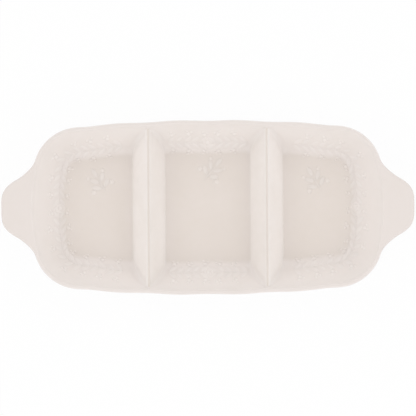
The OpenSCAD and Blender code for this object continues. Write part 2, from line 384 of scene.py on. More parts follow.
def placed(name, data):
    """A new object in the scene"""
    piece = bpy.data.objects.new(name, data)
    scene.collection.objects.link(piece)
    return piece


def skin_mesh(name, points, faces, shown, **marks):
    """A mesh with a number per point for each mark. Shown faces are part of the skin."""
    used, places = np.unique(np.concatenate(faces), return_inverse=True)
    cuts = np.cumsum([len(face) for face in faces])[:-1]
    mesh = new_mesh(name, np.asarray(points)[used].tolist(), [],
                    [part.tolist() for part in np.split(places, cuts)])
    for label, values in marks.items():
        carry(mesh, label, np.asarray(values)[used])
    carry(mesh, "shown", shown, "FACE")
    return mesh


# %% Helpers for faces, and for the left side
def clean_faces(faces, shown):
    """Leaves out doubled corners, and faces that shrink to a line"""
    kept = []
    for face, flag in zip(faces, shown):
        corners = [v for k, v in enumerate(face) if v != face[k - 1]]
        if len(corners) > 2:
            kept.append((corners, flag))
    return [face for face, _ in kept], [flag for _, flag in kept]


def flipped(mesh, name):
    """The same mesh on the left side of the tray"""
    copy = mesh.copy()
    copy.name = name
    copy.vertices.foreach_set("co", (read(mesh.vertices, "co", 3) * (-1, 1, 1)).reshape(-1))
    copy.flip_normals()
    return copy


# %% A closed sheet from a grid of columns
def sheet(name, columns, place=None, folded=False):
    """Two flat skins and the walls between them, over a grid of columns"""
    grid = np.array(columns)
    last_i, last_j = grid.shape[0] - 1, grid.shape[1] - 1
    count = grid.shape[0] * grid.shape[1]
    place = place or (lambda i, j: i * (last_j + 1) + j)
    upper = [(place(i, j), place(i, j + 1), place(i + 1, j + 1), place(i + 1, j))
             for i in range(last_i) for j in range(last_j)]
    edge = ([place(i, 0) for i in range(last_i)]
            + ([] if folded else [place(last_i, j) for j in range(last_j)])
            + [place(i, last_j) for i in range(last_i, 0, -1)]
            + [place(0, j) for j in range(last_j, 0, -1)])
    walls = [(p, q, q + count, p + count) for p, q in zip(edge, edge[1:] + edge[:1])]
    under = [tuple(v + count for v in face[::-1]) for face in upper]
    faces, shown = clean_faces(upper + under + walls,
                               [1] * (2 * len(upper)) + [0] * len(walls))
    flat = np.tile(grid.reshape(-1, 3), (2, 1))
    return skin_mesh(name, flat * (1, 1, 0), faces, shown, inset=flat[:, 2],
                     under=np.repeat((0, 1), count))


# %% The flat grids
near_steps, middle_steps = 14, 26
near_crowding = 1.5  # above 1, the columns stand closer beside a partition
near_shares = [(i / near_steps) ** near_crowding for i in range(near_steps + 1)]
end_columns = ([near_column(1, share) for share in near_shares]
               + [far_column(station) for station in far_stations])
row_count = len(end_columns[0])
fold_i, foot_j = len(end_columns) - 1, len(well_rows) - 1


def folded_place(i, j):
    """The last column runs in along the middle of the end wall and back over itself"""
    return i * row_count + (j if i < fold_i else min(j, row_count - 1 - j, foot_j))


beside = [near_column(-1, share) for share in near_shares]
inner_x = tray.partition_x - near_reach
middle = [side_column(well_rows, lambda d: x)
          for x in steps(-inner_x, inner_x, middle_steps)[:-1]]
centre_columns = ([[(-x, y, d) for x, y, d in column] for column in beside] + middle
                  + beside[::-1])

cap_share, cap_steps, face_share, face_steps = 0.096, 6, 0.12, 14
ridge_shares = (steps(0, cap_share, cap_steps) + [face_share]
                + steps(face_share, 1, face_steps))
ridge_columns = [ridge_column(share)
                 for share in [-q for q in ridge_shares[::-1]] + [0] + ridge_shares]
ridge_count = len(ridge_columns[0])


def pinched_place(i, j):
    """Both ends of a partition run out to a point"""
    return (0 if j in (0, ridge_count - 1) else i) * ridge_count + j


grids = {
    "right_well": sheet("right_well_plan", end_columns, folded_place, folded=True),
    "centre_well": sheet("centre_well_plan", centre_columns),
    "right_partition": sheet("right_partition_plan", ridge_columns, pinched_place)}
for name, mesh in grids.items():
    print(name, len(mesh.vertices), "points")

# %% [markdown]
# ## The rim
# The rim is a round band, rolled outward from the wall and fired smooth. It could be swept
# with a bevelled curve, but then its inner edge would miss the wells' points. Here it is one
# more flat grid: sections across the band, at the stations of the outline.

# %% Stations all round the rim
nose_steps, crown_steps = 24, 4
nose_insets = [tray.rim_r * (1 - math.sin(math.pi * k / nose_steps))
               for k in range(nose_steps + 1)]
crown_insets = [mix(tray.lip_w, tray.rim_r, k / crown_steps) for k in range(crown_steps)]
rim_insets = crown_insets + nose_insets + crown_insets[2::-2]
over_count = crown_steps + nose_steps // 2
rim_under = [0] * over_count + [1] * (len(rim_insets) - over_count)
flip_y, flip_x = np.array([1, -1]), np.array([-1, 1])


def mirrored(stations, flip):
    return [(p * flip, n * flip) for p, n in stations]


quarter = (
    [side_station(x) for x in [0] + steps(0, inner_x, middle_steps // 2)[:-1]]
    + [side_station(tray.partition_x - near_reach * share) for share in near_shares[:0:-1]]
    + [side_station(tray.partition_x + near_reach * share) for share in near_shares]
    + far_stations)
half = quarter + mirrored(quarter[-2:0:-1], flip_y)
ring = half + mirrored(quarter[:1], flip_y) + mirrored(half[:0:-1], flip_x)


def loft(name, sections, closed, shown, place=None, **marks):
    """A skin over closed sections. At its ends, if it has any, sections shrink shut."""
    count, around = len(sections), len(sections[0])
    place = place or (lambda i, k: i * around + k)
    faces, flags = [], []
    for i in range(count if closed else count - 1):
        n = (i + 1) % count
        for k in range(around):
            m = (k + 1) % around
            faces.append((place(i, k), place(n, k), place(n, m), place(i, m)))
            flags.append(shown[k])
    return skin_mesh(name, np.array(sections).reshape(-1, 3), *clean_faces(faces, flags),
                     **{label: np.tile(values, count) for label, values in marks.items()})


# %% The rim's own grid
rim_sections = [[(*inward(station, d), 0) for d in rim_insets] for station in ring]
grids["rim"] = loft("rim_plan", rim_sections, True, [1] * (len(rim_insets) - 1) + [0],
                    inset=rim_insets, under=rim_under)
print("rim:", len(ring), "sections of", len(rim_insets), "points")

# %% [markdown]
# ## Raising the grids with geometry nodes
# The tree below is the mould: it lifts each flat grid to the height that the rule gives. Its
# inputs are the sizes by name, so the same tree shapes every region of the body, and it
# could make a deeper tray or a lower partition at once. It also marks, for the material to read,
# where glaze pools together with painted shade in the fillets, at the wall feet and on the
# partitions, a painted dark line along each crest, and painted light on steep slopes, corners,
# a line inside the rim and beside each crest, partly as glaze running thin.


# %% Helpers for node trees
def node_group(name, kind, inputs, outputs):
    """A node group with named sockets, and its input sockets by name"""
    group = bpy.data.node_groups.new(name, kind)
    for way, sockets in (("INPUT", inputs), ("OUTPUT", outputs)):
        for label, socket_kind in sockets:
            group.interface.new_socket(label, in_out=way,
                                       socket_type="NodeSocket" + socket_kind)
    start = group.nodes.new("NodeGroupInput")
    return group, {socket.name: socket for socket in start.outputs if socket.name}


def new_tree(name, numbers, others):
    """A geometry tree with a mesh input, and inputs for numbers, objects and materials"""
    mesh = ("Mesh", "Geometry")
    tree, ports = node_group(name, "GeometryNodeTree",
                             [mesh, *((label, "Float") for label in numbers), *others], [mesh])
    for item in tree.interface.items_tree:
        if item.name in numbers:
            item.default_value = numbers[item.name]
    return tree, ports


def add(tree, kind, inputs, out=0, **settings):
    """Adds a node, fills its inputs by number or name, and gives one of its outputs"""
    node = tree.nodes.new(kind)
    for key, value in settings.items():
        setattr(node, key, value)
    for key, value in inputs.items():
        plug(tree, node.inputs[key], value)
    return node.outputs[out]


def mark(tree, label, kind="FLOAT"):
    """A number or a direction that the mesh carries"""
    return Wire(tree, add(tree, "GeometryNodeInputNamedAttribute", {"Name": label},
                          data_type=kind))


def keep(tree, mesh, kind, **marks):
    """Stores numbers or directions on the points of a mesh"""
    for label, value in marks.items():
        mesh = add(tree, "GeometryNodeStoreNamedAttribute",
                   {"Geometry": mesh, "Name": label, "Value": value},
                   data_type=kind, domain="POINT")
    return mesh


# %% Finish a tree, and run it
def finish_tree(tree, mesh, material):
    """Every tree ends in real geometry with its material on it"""
    mesh = add(tree, "GeometryNodeSetShadeSmooth", {"Geometry": mesh})
    mesh = add(tree, "GeometryNodeRealizeInstances", {"Geometry": mesh})
    mesh = add(tree, "GeometryNodeSetMaterial", {"Geometry": mesh, "Material": material})
    tree.links.new(mesh, tree.nodes.new("NodeGroupOutput").inputs[0])


def grow(name, mesh, tree, values):
    """Runs a tree on a mesh and keeps the result as a plain mesh"""
    piece = placed(name, mesh)
    modifier = piece.modifiers.new("grow", "NODES")
    modifier.node_group = tree
    for item in tree.interface.items_tree:
        if item.in_out == "INPUT" and item.name in values:
            modifier[item.identifier] = values[item.name]
    shapes = bpy.context.evaluated_depsgraph_get()
    result = bpy.data.meshes.new_from_object(
        piece.evaluated_get(shapes), preserve_all_data_layers=True, depsgraph=shapes)
    piece.modifiers.remove(modifier)
    piece.data = result
    result.name = name
    print(name, len(result.polygons), "faces")
    return piece


# %% The tree that moulds the body
mould, ports = new_tree("mould_the_body", sizes, [("Glaze", "Material")])
wires = SimpleNamespace(**{label: Wire(mould, ports[label]) for label in sizes})
plan = add(mould, "ShaderNodeSeparateXYZ",
           {0: add(mould, "GeometryNodeInputPosition", {})}).node.outputs
inset = mark(mould, "inset")
past_crest = abs(Wire(mould, plan[0])) - wires.partition_x
from_crest = abs(past_crest)
reach = blend_reach(inset, wires)
ridge = ridge_height(from_crest, wires)
hollow = ridge - wires.wall_t * root(wires.face_slope * wires.face_slope + 1)
wall = top_profile(inset, wires)
height = mix(blend(wall, ridge, reach), blend(under_profile(inset, wires), hollow, reach),
             mark(mould, "under"))
raised = add(mould, "ShaderNodeCombineXYZ", {0: plan[0], 1: plan[1], 2: height})
body = add(mould, "GeometryNodeSetPosition", {"Geometry": ports["Mesh"], "Position": raised})
print("nodes for the shape:", len(mould.nodes))

# %% Marks for the glaze, with painted light and shade
level_cos, steep_gain = 0.9, 2.4  # a surface this level or more isn't steep at all
wall_light_share = 0.6  # painted light, partly thinner glaze, is weaker on the walls than on the steep partitions
# Painted light: a lighter line just inside the rim, and lighter fillets where a partition meets
# the upper wall
rim_light_line, rim_gap, rim_reach = 0.25, 4.2 * mm, 2.2 * mm
corner_light, corner_reach, corner_run, lip_run = 0.62, 17 * mm, 17 * mm, 2.5 * mm
# Painted highlight: a light line beside each crest
shoulder_highlight, shoulder_gap, shoulder_reach = 0.4, 1.8 * mm, 1.3 * mm
inner_calm = 0.7  # the painted highlight line beside a crest is fainter on the side of the middle well
# Painted shade: a dark line along each crest, stronger towards its ends
crest_end = 9 * mm
# Glaze pooling together with painted shade: darker at the wall's foot, less so beside a
# partition, and on the partitions, more on their inner sides
foot_pool_and_shade_run, face_shade_share, face_reach = 4 * mm, 0.6, 19 * mm
ridge_shade, inner_side_shade = 0.3, 0.25


def fade(distance, run):
    """1 at no distance, and 0 past the run"""
    return clamp(1 - distance / run)


above_floor = wires.lip_w + wires.wall_run - inset
on_ridge = clamp((ridge - wall) / reach + 0.5)
crest_shows = below(wall, ridge)
on_inner_side = below(past_crest, 0)
# Painted shade: the dark line along the crest
painted_crest_line = (fade(from_crest, wires.crest_r) * crest_shows
            * (fade(inset - crest_d, crest_end) + 1))
# Painted highlight: the light lines beside the crests
crest_shoulder_highlight = (fade(abs(from_crest - shoulder_gap), shoulder_reach) * crest_shows
                * (1 - on_inner_side * inner_calm))
beside_face = mix(face_shade_share, 1, clamp((wall - ridge) / face_reach))
# The pooled mark is partly glaze pooling and partly painted shade
pooled = mix(fade(above_floor, foot_pool_and_shade_run) * beside_face,
             (on_inner_side * inner_side_shade + ridge_shade) * (1 - crest_shoulder_highlight), on_ridge)
normal = add(mould, "GeometryNodeInputNormal", {})
up_share = Wire(mould, add(mould, "ShaderNodeSeparateXYZ", {0: normal}, 2))
# Painted light on steep surfaces, partly as thinner glaze
steep = clamp((level_cos - up_share) * steep_gain)
in_corner = (ease(fade(abs(ridge - wall), corner_reach)) * clamp(above_floor / corner_run)
             * clamp((inset - wires.lip_w) / lip_run))
on_rim = fade(abs(inset - rim_gap), rim_reach)
# All the painted light and the thinner glaze in one share
lit_and_thin_share = clamp(larger(larger(steep * mix(wall_light_share, 1, on_ridge), in_corner * corner_light),
                         on_rim * rim_light_line) + crest_shoulder_highlight * shoulder_highlight)
body = keep(mould, body, "FLOAT", pooled=pooled, crest=painted_crest_line, thin=lit_and_thin_share)
finish_tree(mould, body, ports["Glaze"])
print("nodes in the mould:", len(mould.nodes))

# %% [markdown]
# ## Glaze and bare clay
# The glaze is a warm white glass over a white body. What makes it look fired and not moulded
# in plastic is small: slow changes of tone, a few pinholes, and a skin that is never quite flat.
# The glaze also carries painted light and shade: a deeper tone where it pools, which also paints
# the shade of the fillets and wall feet, a painted dark line along each crest, and a lighter
# tone painted on steep slopes, corners and beside the crests, partly as thinner glaze. A shader
# node group holds these effects once, and each fired material places it with its own values.

# %% The group that all fired surfaces share
cloud_size, cloud_share, patch_size, patch_share = 34 * mm, 1.1, 7 * mm, 0.5
speck_gap, speck_zone, speck_crispness, speck_depth = 11 * mm, 60 * mm, 22, 2
speck_colour = (0.42, 0.33, 0.25, 1)
ripple_scale, ripple_height = 0.16, 3
least_rough, patch_rough = 0.85, 0.3


def noise(tree, place, scale, detail=2.0):
    return Wire(tree, add(tree, "ShaderNodeTexNoise",
                          {"Vector": place, "Scale": scale, "Detail": detail}))


def tint(tree, share, first, second):
    """One colour turning into another as a share goes from 0 to 1"""
    return add(tree, "ShaderNodeMix", {0: share, 6: first, 7: second}, 2, data_type="RGBA")


colour_labels = ("Colour", "Thin colour", "Deep colour")
number_labels = ("Thin share", "Deep share", "Tone change", "Grain size", "Speck share",
                 "Roughness")
fired, gates = node_group(
    "fired_surface", "ShaderNodeTree",
    [(label, "Color") for label in colour_labels] + [(label, "Float") for label in number_labels],
    [("Colour", "Color"), ("Roughness", "Float"), ("Height", "Float")])
numbers = {label: Wire(fired, gates[label]) for label in number_labels}
place = add(fired, "ShaderNodeTexCoord", {}, "Object")
grain_scale = numbers["Grain size"].then("POWER", -1)
patches = noise(fired, place, 1 / patch_size)
drift = ((noise(fired, place, 1 / cloud_size, 3) - 0.5) * cloud_share
         + (patches - 0.5) * patch_share)
# The deep tone takes glaze pooling, painted shade and random tone; the light tone takes painted
# light and thinner glaze
deep_and_shaded = clamp(numbers["Deep share"] + drift * numbers["Tone change"])
lit_and_thin_tone = tint(fired, numbers["Thin share"], gates["Colour"], gates["Thin colour"])
cells = Wire(fired, add(fired, "ShaderNodeTexVoronoi", {"Vector": place,
                                                        "Scale": 1 / speck_gap}))
speck = clamp(1 - cells * speck_crispness) * below(noise(fired, place, 1 / speck_zone), 0.5)
speckled = tint(fired, speck * numbers["Speck share"],
                tint(fired, deep_and_shaded, lit_and_thin_tone, gates["Deep colour"]), speck_colour)
ripple = noise(fired, place, grain_scale * ripple_scale, 1)
skin = noise(fired, place, grain_scale, 1)
end = fired.nodes.new("NodeGroupOutput")
for label, value in (
        ("Colour", speckled),
        ("Roughness", numbers["Roughness"] * (patches * patch_rough + least_rough)),
        ("Height", ripple * ripple_height + skin - speck * speck_depth)):
    plug(fired, end.inputs[label], value)
print("nodes in the fired surface:", len(fired.nodes))


# %% The glaze and the clay
def fired_material(name, colours, bump, **values):
    """A fired material: its whole-surface values are set on the shader itself"""
    material = bpy.data.materials.new(name)
    material.use_nodes = True
    tree = material.node_tree
    shader = tree.nodes["Principled BSDF"]
    shader.inputs["IOR"].default_value = 1.5
    surface = tree.nodes.new("ShaderNodeGroup")
    surface.node_tree = fired
    for label, colour in zip(colour_labels, colours):
        surface.inputs[label].default_value = (*colour, 1)
    for label, value in values.items():
        surface.inputs[label.replace("_", " ")].default_value = value
    relief = add(tree, "ShaderNodeBump", {"Height": surface.outputs["Height"],
                                          "Distance": bump, "Strength": 1.0})
    for label, output in (("Base Color", surface.outputs["Colour"]),
                          ("Roughness", surface.outputs["Roughness"]), ("Normal", relief)):
        tree.links.new(output, shader.inputs[label])
    return material, surface


# The glaze's second colour is the lighter tone of painted light and thin glaze, its third the
# deeper tone of pooling and painted shade
glaze, surface = fired_material(
    "warm_white_glaze", ((0.845, 0.775, 0.735), (0.975, 0.93, 0.9), (0.74, 0.665, 0.59)),
    bump=0.0025 * mm, Roughness=0.16, Grain_size=1.6 * mm, Tone_change=0.3, Speck_share=0.25)
clay, _ = fired_material(
    "bare_clay", ((0.72, 0.65, 0.57), (0.72, 0.65, 0.57), (0.6, 0.52, 0.44)),
    bump=0.03 * mm, Roughness=0.75, Grain_size=0.7 * mm, Tone_change=0.8, Speck_share=0.5)
# Painted shade: the deep tone follows the pooled-and-shaded mark and the dark crest line. Painted
# light: the light tone follows the lit-and-thin mark.
pooled_and_shaded_depth, crest_shade_depth = 0.38, 0.4
pooled, crest, thin = (
    Wire(glaze.node_tree, add(glaze.node_tree, "ShaderNodeAttribute", {}, "Fac",
                              attribute_name=label)) for label in ("pooled", "crest", "thin"))
plug(glaze.node_tree, surface.inputs["Deep share"], pooled * pooled_and_shaded_depth + crest * crest_shade_depth)
plug(glaze.node_tree, surface.inputs["Thin share"], thin)
print("materials:", glaze.name, clay.name)

# %% The moulded regions
for name in ("well", "partition"):
    grids["left_" + name] = flipped(grids["right_" + name], f"left_{name}_plan")
body_pieces = {name: grow("glazed_" + name, mesh, mould, {"Glaze": glaze})
               for name, mesh in grids.items()}

# %% [markdown]
# ## The handles
# Each handle is a flat tab, pressed in its own mould and luted to the rim with slip. Its
# sides flare out of the rim, pass a soft shoulder and close in a round end. It is lofted:
# each section starts on the rim's rounded edge, crosses the tab's top, rounds its edge and
# comes back below. The first and last sections shrink shut on the rim.

# %% The outline of a handle, as two curves
root_pull, shoulder_pull, round_pull, tip_pull = 0.29, 0.13, 0.59, 0.35
rim_root = end_station(end_lean)[0]
shoulder = np.array([half_l + shoulder_out, shoulder_half])
tip = np.array([half_l + handle_reach, 0])
shoulder_dir = turned(-shoulder_slope)
flare_chord, end_chord = np.linalg.norm(shoulder - rim_root), np.linalg.norm(tip - shoulder)
flare = (rim_root, rim_root + root_pull * flare_chord * turned(end_lean - math.pi / 2),
         shoulder - shoulder_pull * flare_chord * shoulder_dir, shoulder)
round_end = (shoulder, shoulder + round_pull * end_chord * shoulder_dir,
             tip + tip_pull * end_chord * np.array([0, 1]), tip)


def curve_station(c, t):
    """A point on a curve with four control points, and the direction that faces outward"""
    s = 1 - t
    point = s ** 3 * c[0] + 3 * s * s * t * c[1] + 3 * s * t * t * c[2] + t ** 3 * c[3]
    run = s * s * (c[1] - c[0]) + 2 * s * t * (c[2] - c[1]) + t * t * (c[3] - c[2])
    return point, np.array([-run[1], run[0]]) / np.linalg.norm(run)


print(f"from the rim to a shoulder: {flare_chord / mm:.1f} mm")

# %% Sections of a handle
tab_steps, tab_nose_steps = 10, 16


def nose_section(station, drop):
    """Points round the rounded edge, from its top to its underside"""
    angles = [math.pi / 2 - math.pi * k / tab_nose_steps for k in range(tab_nose_steps + 1)]
    return [np.array([*inward(station, tray.rim_r * (1 - math.cos(t))),
                      tray.rim_z - tray.rim_r - drop + tray.rim_r * math.sin(t)])
            for t in angles]


def crossing(start, end, drop):
    """Points across the tab between its root and its edge"""
    shares = [k / tab_steps for k in range(1, tab_steps)]
    return [np.array([*mix(start, end, q)[:2], start[2] - drop * ease(q)]) for q in shares]


def handle_section(inner, outer):
    drop = handle_dip * np.linalg.norm(outer[0] - inner[0]) / handle_reach
    edge, seat = nose_section(outer, drop), nose_section(inner, 0)
    return (crossing(seat[0], edge[0], drop) + edge
            + crossing(seat[-1], edge[-1], drop)[::-1] + seat[::-1])


def both_halves(stations):
    return stations + mirrored(stations[-2::-1], flip_y)


inner_side = both_halves([end_station(t) for t in [end_lean] + steps(end_lean, 0, end_steps)])
outer_side = both_halves(
    [curve_station(flare, t) for t in [0] + steps(0, 1, end_steps // 2)]
    + [curve_station(round_end, t) for t in steps(0, 1, end_steps // 2)])
handle_sections = [handle_section(*pair) for pair in zip(inner_side, outer_side)]
around = len(handle_sections[0])
edge_k, seat_k = tab_steps - 1, around - 1 - tab_nose_steps


# %% Both ends of a handle shrink shut
def seated(k):
    """At both ends of the handle every point falls on its seat"""
    if k < edge_k:
        return around - 1
    return around - 1 - (k - edge_k) if k <= edge_k + tab_nose_steps else max(k, seat_k)


def handle_place(i, k):
    at_end = i in (0, len(handle_sections) - 1)
    return i * around + (seated(k) if at_end else k)


handle_mesh = loft("right_handle_skin", handle_sections, False,
                   [1] * seat_k + [0] * tab_nose_steps + [1], handle_place)
for name, mesh in (("right_handle", handle_mesh),
                   ("left_handle", flipped(handle_mesh, "left_handle_skin"))):
    mesh.materials.append(glaze)
    mesh.shade_smooth()
    body_pieces[name] = placed("glazed_" + name, mesh)
print("handle:", len(handle_mesh.polygons), "faces")

# %% [markdown]
# ## One skin without seams
# The regions were built apart, so each would be shaded as if it ended at its own border, and
# faint lines would show in the gloss. Points that fall together are given one shared normal,
# worked out from all the faces round them. The hidden walls between pieces stay out of it.

# %% Share the normals along the seams
weld_gap, weld_offset = 0.01 * mm, 0.371  # the offset keeps the tray's middle off a border


def unit(vectors):
    return vectors / np.maximum(np.linalg.norm(vectors, axis=1), 1e-12)[:, None]


def corners_of(mesh):
    """For each corner of a mesh, the number of its face and of its point"""
    corner_counts = read(mesh.polygons, "loop_total", 1, np.int32)
    return (np.repeat(np.arange(len(mesh.polygons)), corner_counts),
            read(mesh.loops, "vertex_index", 1, np.int32))


def share_normals(pieces):
    """Gives points that fall together the mean normal of all the shown faces round them"""
    starts = np.cumsum([0] + [len(piece.data.vertices) for piece in pieces])
    places, corner_places, corner_pulls = [], [], []
    for piece, start in zip(pieces, starts):
        mesh = piece.data
        places.append(read(mesh.vertices, "co", 3))
        pull = read(mesh.polygons, "normal", 3) * read(mesh.polygons, "area", 1)[:, None]
        pull *= read(mesh.attributes["shown"].data, "value", 1)[:, None]
        faces, points = corners_of(mesh)
        corner_places.append(points + start)
        corner_pulls.append(pull[faces])
    keys = np.round(np.concatenate(places) / weld_gap + weld_offset).astype(np.int64)
    group = np.unique(keys, axis=0, return_inverse=True)[1].reshape(-1)
    total = np.zeros((group.max() + 1, 3))
    np.add.at(total, group[np.concatenate(corner_places)], np.concatenate(corner_pulls))
    total = unit(total)
    for piece, own, start in zip(pieces, corner_places, starts):
        mesh = piece.data
        faces, _ = corners_of(mesh)
        flat = read(mesh.polygons, "normal", 3)[faces]
        shown = read(mesh.attributes["shown"].data, "value", 1)[faces][:, None] > 0.5
        mesh.normals_split_custom_set(np.where(shown, total[group[own]], flat).tolist())
        carry(mesh, "smooth_normal", total[group[start:start + len(mesh.vertices)]],
              kind="FLOAT_VECTOR")
    return len(total)


print("points with a normal of their own:", share_normals(list(body_pieces.values())))

# %% [markdown]
# ## Raised garlands
# The walls of such trays often carry a low relief, cut into the mould so that it comes out
# with the wall. Here it is a plain laurel: pairs of leaves on a stem, berries beside them,
# and a round boss where two branches meet. One loose sprig lies on each floor. Each branch
# is laid out flat along a path in the plan. Then a ray straight down finds the wall under
# every point, and the height of the layout becomes height above the glaze. The edges of each
# shape lie a little below it.

# %% A leaf
sunk = 0.1 * mm
leaf_steps, leaf_taper, groove_shares = 6, 0.75, (1, 0.6, 1)
petal_out, petal_up = 0.06, 0.4


def leaf(length, half_width, lift):
    """A leaf along x, grooved down its middle, over a back that lies a little in the wall"""
    last_j = len(groove_shares) + 1
    points, faces, places = [], [], {}

    def corner(i, j, top):
        """The number of a point on the leaf's face or back, which meet at its outline"""
        u = i / leaf_steps
        bow = (4 * u * (1 - u)) ** leaf_taper
        raised = top and bow > 0 and 0 < j < last_j
        place = (i, j if bow > 0 else 0, raised)
        if place not in places:
            places[place] = len(points)
            points.append((length * u, half_width * bow * (2 * j / last_j - 1),
                           lift * bow * groove_shares[j - 1] if raised else -sunk))
        return places[place]

    for top in (True, False):
        for i in range(leaf_steps):
            for j in range(last_j):
                face = list(dict.fromkeys([corner(i, j, top), corner(i + 1, j, top),
                                           corner(i + 1, j + 1, top), corner(i, j + 1, top)]))
                faces.append(face if top else face[::-1])
    return points, faces


# %% A berry or a boss, and a stamp made of such shapes
def knob(profile, sides, petals=0):
    """A round shape from pairs of radius and height, fluted into petals if there are any"""
    points, faces = [], []
    widest = max(r for r, z in profile)
    for r, z in profile:
        for k in range(sides):
            t = 2 * math.pi * k / sides
            flute = math.cos(petals * t) * min(max(r / widest * 2 - 1, 0), 1)
            out = r * (1 + petal_out * flute)
            points.append((out * math.cos(t), out * math.sin(t),
                           z * (1 + petal_up * flute * (z > 0))))
    for i in range(len(profile) - 1):
        for k in range(sides):
            m = (k + 1) % sides
            faces.append([i * sides + k, i * sides + m, (i + 1) * sides + m,
                          (i + 1) * sides + k])
    faces += [list(range(len(points) - sides, len(points))), list(range(sides - 1, -1, -1))]
    return points, faces


def stamp(name, parts):
    """A helper object for a tree to copy, made of shapes placed in millimetres and turned"""
    points, faces = [], []
    for (own_points, own_faces), place_x, place_y, angle in parts:
        start = len(points)
        c, s = math.cos(angle), math.sin(angle)
        points += [(place_x * mm + x * c - y * s, place_y * mm + x * s + y * c, z)
                   for x, y, z in own_points]
        faces += [[v + start for v in face] for face in own_faces]
    print(name, len(faces), "faces")
    return placed(name, new_mesh(name, points, [], faces))


# %% The stamps
leaf_shape = leaf(10.6 * mm, 2.4 * mm, 0.6 * mm)
crisp_leaf_shape = leaf(11 * mm, 2.5 * mm, 0.95 * mm)  # on a floor, light from above shows less
twig_shape = leaf(19 * mm, 0.9 * mm, 0.4 * mm)
berry_shape, bud_shape, crisp_berry_shape, crisp_bud_shape = (
    knob([(r, -sunk), (0.85 * r, 0.11 * r), (0.55 * r, 0.25 * r), (0.2 * r, 0.32 * r)],
         sides=10)
    for r in (2 * mm, 1.5 * mm, 2.4 * mm, 1.9 * mm))
boss_profile = (  # radius and height in millimetres, or None for the depth of its foot
    (0.5, None), (2.4, None), (3.6, None), (4.8, None), (4.6, 0.15), (4, 0.4),
    (3.2, 0.45), (2.4, 0.3), (1.9, 0.2), (1.7, 0.4), (1.3, 0.6), (0.5, 0.7))
boss_shape = knob([(r * mm, -sunk if z is None else z * mm) for r, z in boss_profile],
                  sides=48, petals=8)
leaf_angle = math.radians(42)


def both_sides(*parts):
    """Parts placed on one side of a stem, and mirrored to the other"""
    return [(shape, x, side * y, side * angle) for side in (1, -1)
            for shape, x, y, angle in parts]


stamps = {
    "Leaves": stamp("leaf_pair", both_sides((leaf_shape, 0, 0, leaf_angle))),
    "Berries": stamp("berries", both_sides((berry_shape, 4.8, 8.7, 0), (bud_shape, 7.6, 10.4, 0),
                                           (bud_shape, 3.6, 11.8, 0))),
    "Boss": stamp("boss", [(boss_shape, 0, 0, 0)]),
    "Sprig": stamp("sprig", [(twig_shape, -13, 0, 0), (crisp_leaf_shape, 4.5, 0, 0)] + both_sides(
        (crisp_leaf_shape, -6.5, 0.6, 0.95), (crisp_leaf_shape, -0.5, 0.6, 0.75),
        (crisp_berry_shape, -5.5, 9.8, 0), (crisp_bud_shape, 8.5, 7.8, 0)))}


# %% Paths for the branches
side_inset, end_inset, boss_gap = 20 * mm, 28 * mm, 8 * mm
branch_start, branch_steps = 37 * mm, 16
end_sprig, middle_sprig = (100 * mm, 24 * mm, 2.1), (4 * mm, 34 * mm, 0.9)


def garland_plan(name, branches, bosses, sprig):
    """Lines in the plan for the branches, and loose points for the bosses and the sprig"""
    points = [point for branch in branches for point in branch]
    starts = np.cumsum([0] + [len(branch) for branch in branches])
    lines = [(v, v + 1) for start, end in zip(starts, starts[1:]) for v in range(start, end - 1)]
    mesh = new_mesh(name, [(x, y, 0) for x, y, *_ in points + bosses + [sprig]], lines, [])
    kinds = np.repeat((0, 1, 2), (len(points), len(bosses), 1))
    carry(mesh, "boss", kinds == 1)
    carry(mesh, "sprig", kinds == 2)
    carry(mesh, "heading", (kinds == 2) * sprig[2])
    return mesh


count = len(far_stations)
end_branch = [inward(station, mix(side_inset, end_inset, i / count))
              for i, station in enumerate(far_stations)]
end_boss = end_branch[-1]
end_branch = [p for p in end_branch if np.linalg.norm(p - end_boss) > boss_gap]
middle_branch = [np.array(side_point(x, side_inset))
                 for x in np.linspace(branch_start, boss_gap, branch_steps)]
middle_boss = np.array(side_point(0, side_inset))
end_plan = garland_plan("right_garland_plan", [end_branch, [p * flip_y for p in end_branch]],
                        [end_boss], end_sprig)
plans = {
    "right": end_plan,
    "left": flipped(end_plan, "left_garland_plan"),
    "centre": garland_plan(
        "centre_garland_plan",
        [[p * flip for p in middle_branch]
         for flip in (np.array([1, 1]), flip_x, flip_y, flip_x * flip_y)],
        [middle_boss, middle_boss * flip_y], middle_sprig)}
print("points in a branch:", len(end_branch), len(middle_branch))

# %% The tree that lays a garland: its inputs and helpers
lay, ports = new_tree(
    "lay_a_garland",
    {"Spacing": 7.2 * mm, "Smallest": 0.9, "Largest": 1.08, "Turn": 0.09, "Across": 0.8,
     "Stem radius": 0.4 * mm, "Height above": 100 * mm},
    [(label, "Object") for label in (*stamps, "Well")] + [("Glaze", "Material")])
growth_seed, turn_seed, stem_sides = 3, 5, 8


def copied(label):
    """The shape of a helper object"""
    return add(lay, "GeometryNodeObjectInfo", {"Object": ports[label]}, "Geometry")


def planted(label, points, **settings):
    """Copies of a stamp on points"""
    return add(lay, "GeometryNodeInstanceOnPoints",
               {"Points": points, "Instance": copied(label), **settings})


def random_value(low, high, seed):
    return Wire(lay, add(lay, "FunctionNodeRandomValue", {2: low, 3: high, "Seed": seed}, 1,
                         data_type="FLOAT"))


